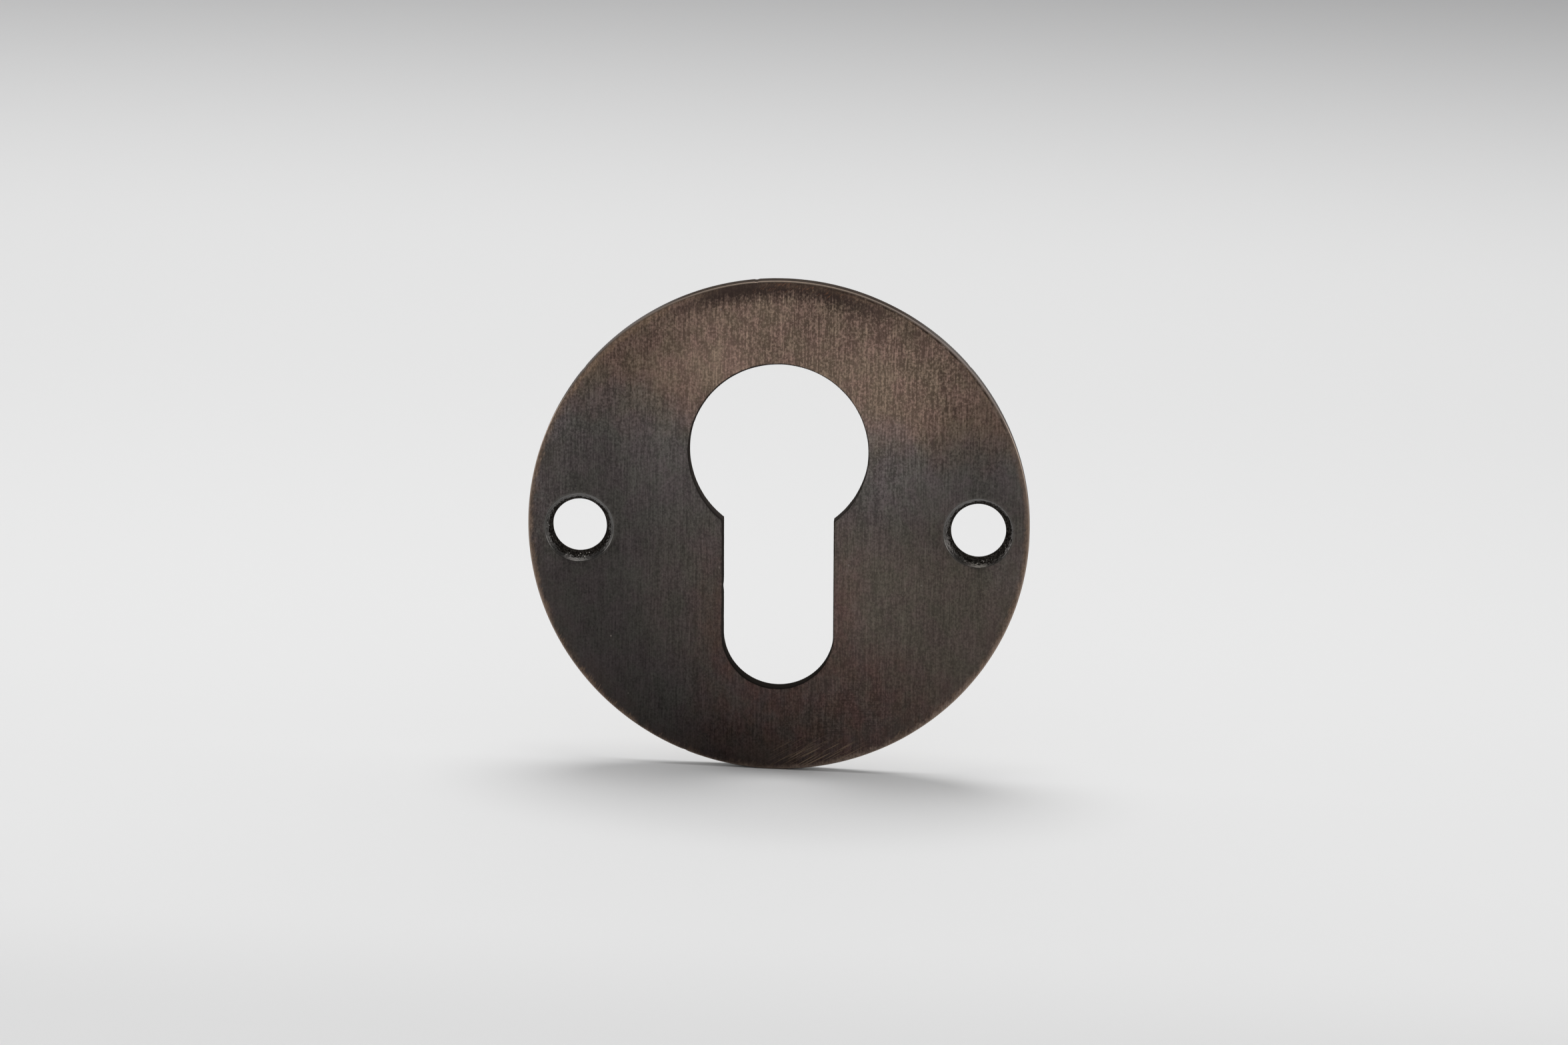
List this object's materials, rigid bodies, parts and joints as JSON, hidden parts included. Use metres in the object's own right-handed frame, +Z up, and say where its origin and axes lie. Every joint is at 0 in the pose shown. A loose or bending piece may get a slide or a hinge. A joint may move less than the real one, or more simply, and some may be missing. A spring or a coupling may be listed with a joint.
{
  "type": "keyhole escutcheon",
  "caption": "Round flat keyhole escutcheon plate with a profile-cylinder cut-out between countersunk screw holes on its horizontal diameter.",
  "frame": {"origin": "midway between the screw holes, in the plane of the back, which lies on the door", "axes": "+Z up as on the door, with the bow of the cut-out above its web; -Y out of the polished face; +X to the right of someone who looks at the face"},
  "size_m": [0.05, 0.0016, 0.05],
  "materials": {
    "patinated_bronze": "brushed bronze with a dark brown oxide patina, worn bright on the rim"
  },
  "bodies": {
    "root": {"escutcheon_plate": "patinated_bronze"}
  },
  "joints": []
}
